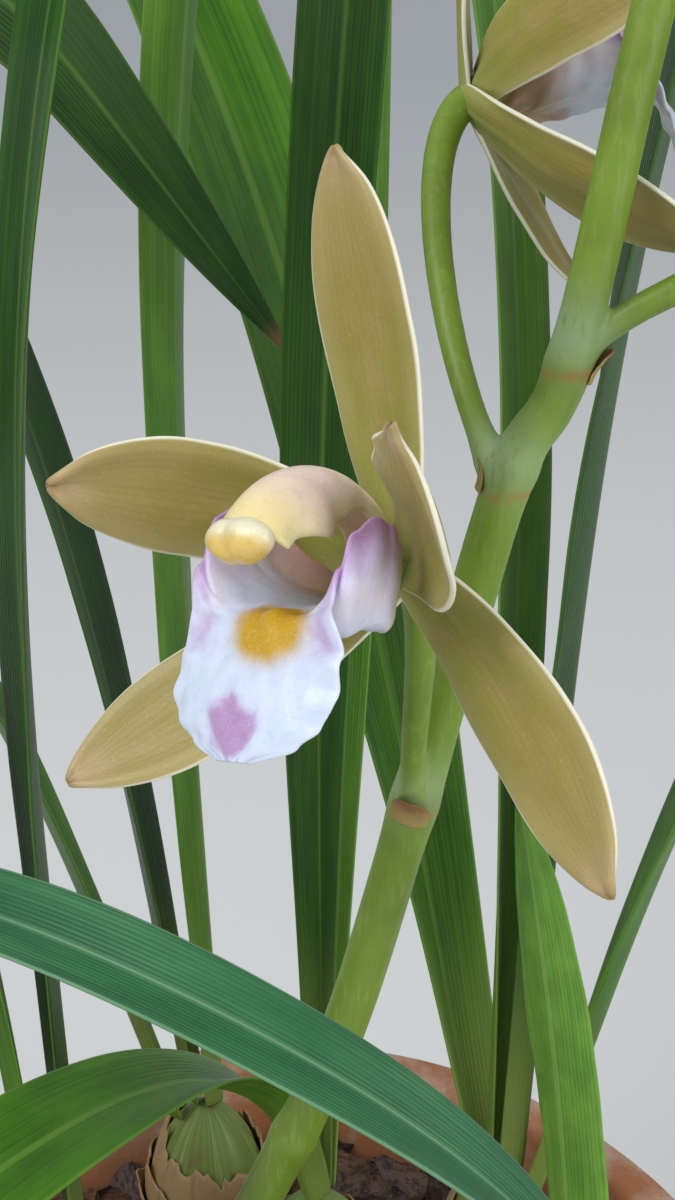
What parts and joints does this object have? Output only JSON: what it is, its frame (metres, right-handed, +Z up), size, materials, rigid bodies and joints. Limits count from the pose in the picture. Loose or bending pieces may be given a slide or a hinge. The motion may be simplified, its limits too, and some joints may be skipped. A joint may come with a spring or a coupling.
{
  "type": "potted orchid",
  "caption": "Cymbidium orchid in a plain clay pot of bark, with strap leaves, a leaning stalk, open khaki flowers with white lips, and buds at its tip.",
  "frame": {"origin": "middle of the pot's flat underside", "axes": "+Z up, -Y towards the front, which is the side the lowest flower opens to, and +X the way the stalk leans"},
  "size_m": [0.5515, 0.4133, 0.5603],
  "materials": {
    "clay": "matt unglazed terracotta",
    "bark": "rough brown chips",
    "bulb": "ribbed, with dry straw sheaths",
    "leaf": "satin green",
    "stalk": "satin yellow-green",
    "bract": "papery pale green",
    "tepal": "soft khaki with a frosted edge",
    "lip": "waxy white with lilac and yellow",
    "column": "waxy cream and peach",
    "cap": "waxy yellow"
  },
  "bodies": {
    "root": {"bark_bed": "bark", "bud_1": "tepal", "bud_2": "tepal", "bud_3": "tepal", "bud_4": "tepal", "flower_1_anther_cap": "cap", "flower_1_column": "column", "flower_1_dorsal_sepal": "tepal", "flower_1_left_petal": "tepal", "flower_1_left_sepal": "tepal", "flower_1_lip": "lip", "flower_1_right_petal": "tepal", "flower_1_right_sepal": "tepal", "flower_2_anther_cap": "cap", "flower_2_column": "column", "flower_2_dorsal_sepal": "tepal", "flower_2_left_petal": "tepal", "flower_2_left_sepal": "tepal", "flower_2_lip": "lip", "flower_2_right_petal": "tepal", "flower_2_right_sepal": "tepal", "flower_3_anther_cap": "cap", "flower_3_column": "column", "flower_3_dorsal_sepal": "tepal", "flower_3_left_petal": "tepal", "flower_3_left_sepal": "tepal", "flower_3_lip": "lip", "flower_3_right_petal": "tepal", "flower_3_right_sepal": "tepal", "flower_stalk": "stalk", "leaf_01": "leaf", "leaf_02": "leaf", "leaf_03": "leaf", "leaf_04": "leaf", "leaf_05": "leaf", "leaf_06": "leaf", "leaf_07": "leaf", "leaf_08": "leaf", "leaf_09": "leaf", "leaf_10": "leaf", "leaf_11": "leaf", "leaf_12": "leaf", "leaf_13": "leaf", "leaf_14": "leaf", "leaf_15": "leaf", "leaf_16": "leaf", "leaf_17": "leaf", "leaf_18": "leaf", "leaf_19": "leaf", "pot": "clay", "pseudobulb_1": "bulb", "pseudobulb_2": "bulb", "pseudobulb_3": "bulb", "pseudobulb_4": "bulb", "pseudobulb_5": "bulb", "pseudobulb_6": "bulb", "stalk_bract_1": "bract", "stalk_bract_2": "bract"}
  },
  "joints": []
}
